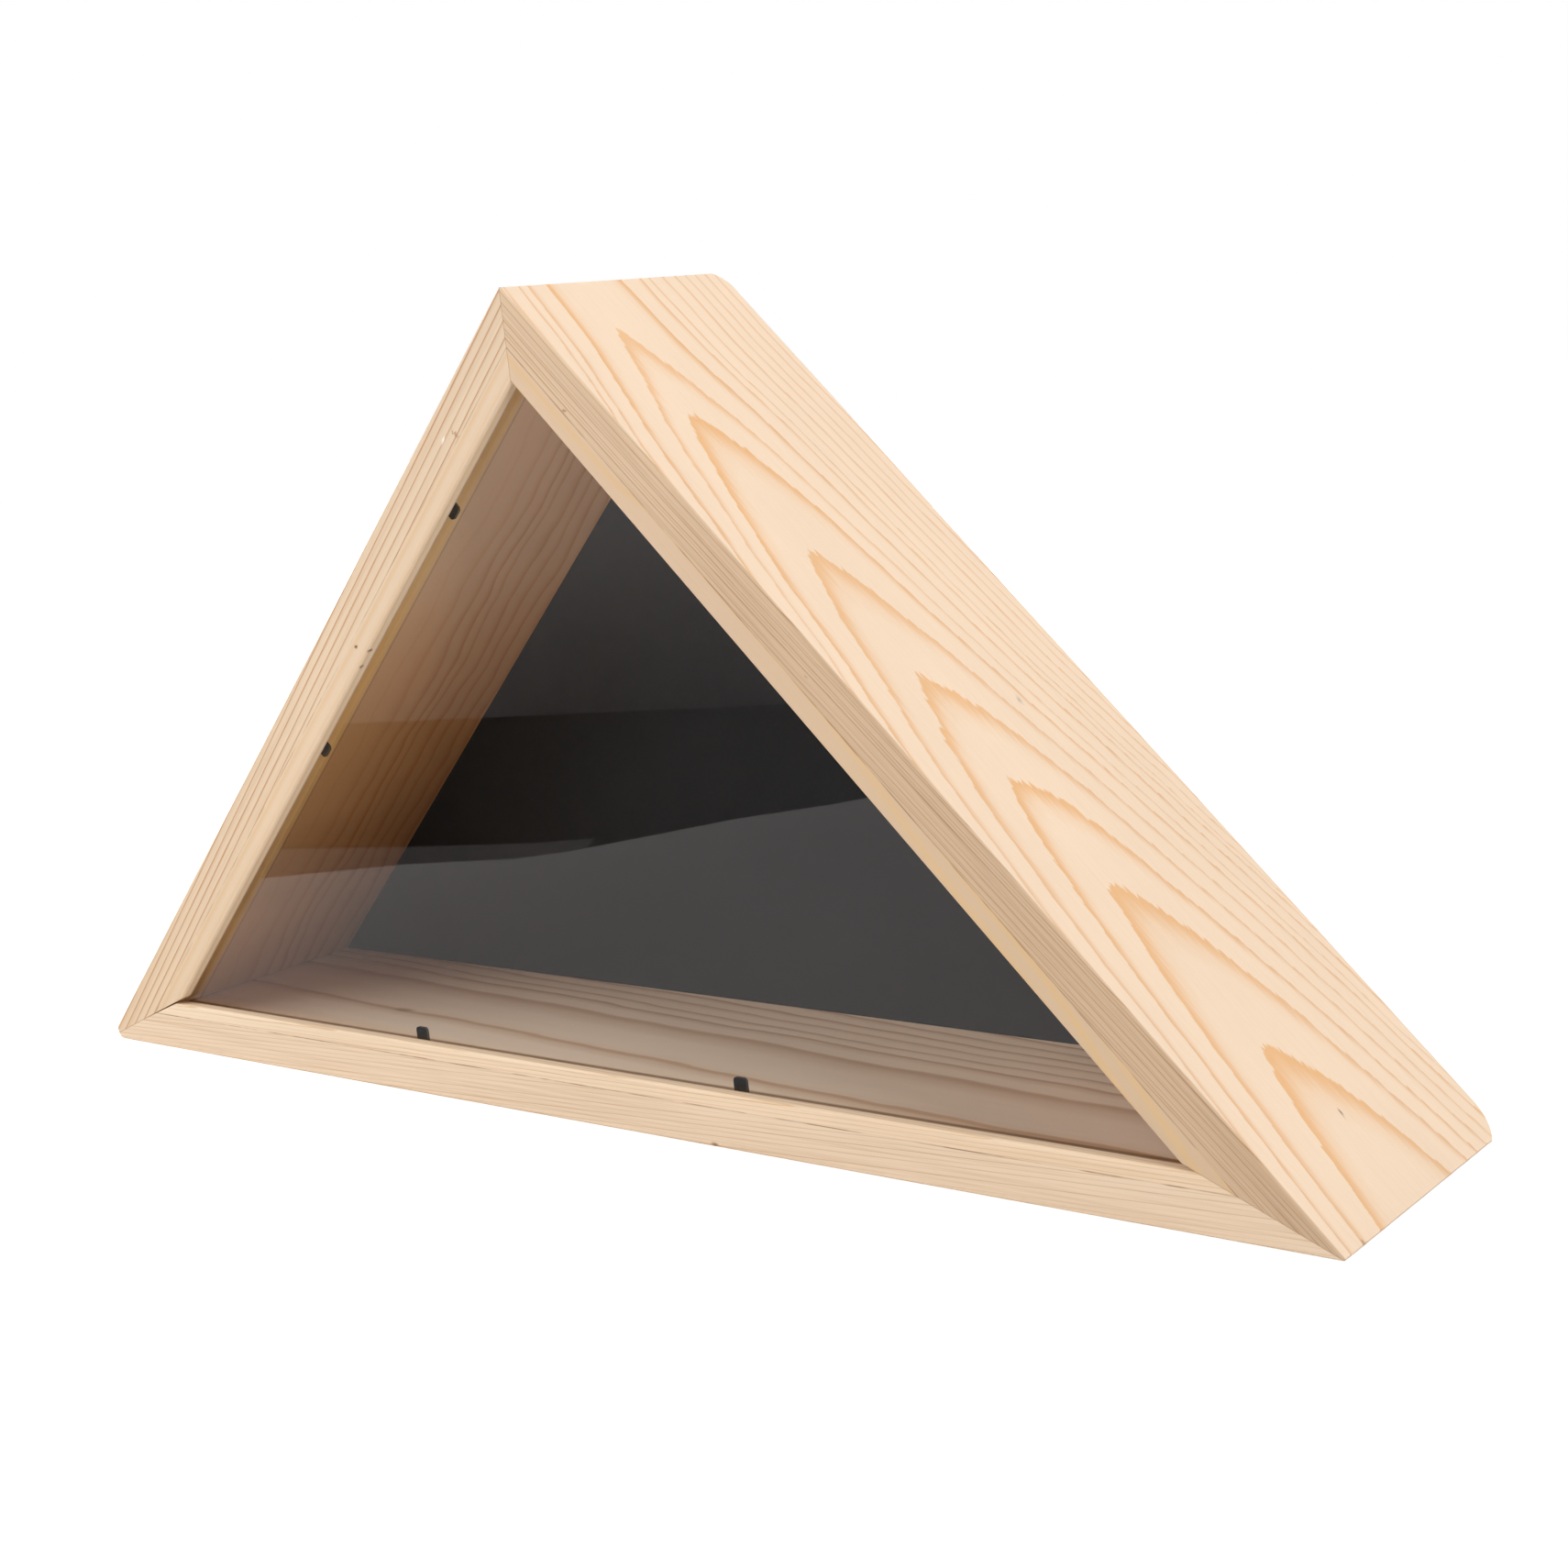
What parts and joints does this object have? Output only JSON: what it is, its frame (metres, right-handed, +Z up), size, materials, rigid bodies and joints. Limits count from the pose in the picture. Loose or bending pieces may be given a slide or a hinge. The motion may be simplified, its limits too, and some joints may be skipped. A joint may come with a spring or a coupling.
{
  "type": "folded flag display case",
  "caption": "Triangular pine display case for a folded flag, with mitred boards, a clear front pane and a lift-out back panel held by turn buttons.",
  "frame": {"origin": "middle of the base face, half way between the front face and the rear rim", "axes": "+X along the base, +Y from the front pane to the back panel, +Z up to the apex"},
  "size_m": [0.4402, 0.0854, 0.2222],
  "materials": {
    "left_pine": "sanded bare pine",
    "right_pine": "sanded bare pine",
    "bottom_pine": "sanded bare pine",
    "strip_pine": "sanded bare pine, flat grain",
    "clear_pane": "clear, polished",
    "dark_panel": "matt charcoal, faintly smudged",
    "black_point": "black, satin",
    "nail_steel": "plain steel",
    "button_steel": "zinc plated, lightly brushed",
    "screw_steel": "zinc plated"
  },
  "bodies": {
    "case": {"left_board": "left_pine", "right_board": "right_pine", "bottom_board": "bottom_pine", "left_strip": "strip_pine", "right_strip": "strip_pine", "bottom_strip": "strip_pine", "front_pane": "clear_pane", "left_point_low": "black_point", "left_point_high": "black_point", "right_point_low": "black_point", "right_point_high": "black_point", "bottom_point_left": "black_point", "bottom_point_right": "black_point", "left_nail": "nail_steel", "right_nail": "nail_steel", "apex_nail": "nail_steel", "left_screw_low": "screw_steel", "left_screw_high": "screw_steel", "right_screw_low": "screw_steel", "right_screw_high": "screw_steel", "bottom_screw_left": "screw_steel", "bottom_screw_right": "screw_steel"},
    "back_panel": {"back_panel": "dark_panel"},
    "left_button_low": {"left_button_low": "button_steel"},
    "left_button_high": {"left_button_high": "button_steel"},
    "right_button_low": {"right_button_low": "button_steel"},
    "right_button_high": {"right_button_high": "button_steel"},
    "bottom_button_left": {"bottom_button_left": "button_steel"},
    "bottom_button_right": {"bottom_button_right": "button_steel"}
  },
  "joints": [
    {"name": "back_panel_lift_out", "type": "slide", "parent": "case", "child": "back_panel", "axis": [0, 1, 0], "range_m": [0, 0.12]},
    {"name": "left_button_low_turn", "type": "hinge", "parent": "case", "child": "left_button_low", "pos_m": [-0.15728, 0.0421, 0.05829], "axis": [0, -1, 0], "range_deg": [0, 180]},
    {"name": "left_button_high_turn", "type": "hinge", "parent": "case", "child": "left_button_high", "pos_m": [-0.05829, 0.0421, 0.15728], "axis": [0, -1, 0], "range_deg": [0, 180]},
    {"name": "right_button_low_turn", "type": "hinge", "parent": "case", "child": "right_button_low", "pos_m": [0.15728, 0.0421, 0.05829], "axis": [0, 1, 0], "range_deg": [0, 180]},
    {"name": "right_button_high_turn", "type": "hinge", "parent": "case", "child": "right_button_high", "pos_m": [0.05829, 0.0421, 0.15728], "axis": [0, 1, 0], "range_deg": [0, 180]},
    {"name": "bottom_button_left_turn", "type": "hinge", "parent": "case", "child": "bottom_button_left", "pos_m": [-0.09, 0.0421, 0.0049], "axis": [0, 1, 0], "range_deg": [0, 180]},
    {"name": "bottom_button_right_turn", "type": "hinge", "parent": "case", "child": "bottom_button_right", "pos_m": [0.09, 0.0421, 0.0049], "axis": [0, -1, 0], "range_deg": [0, 180]}
  ]
}
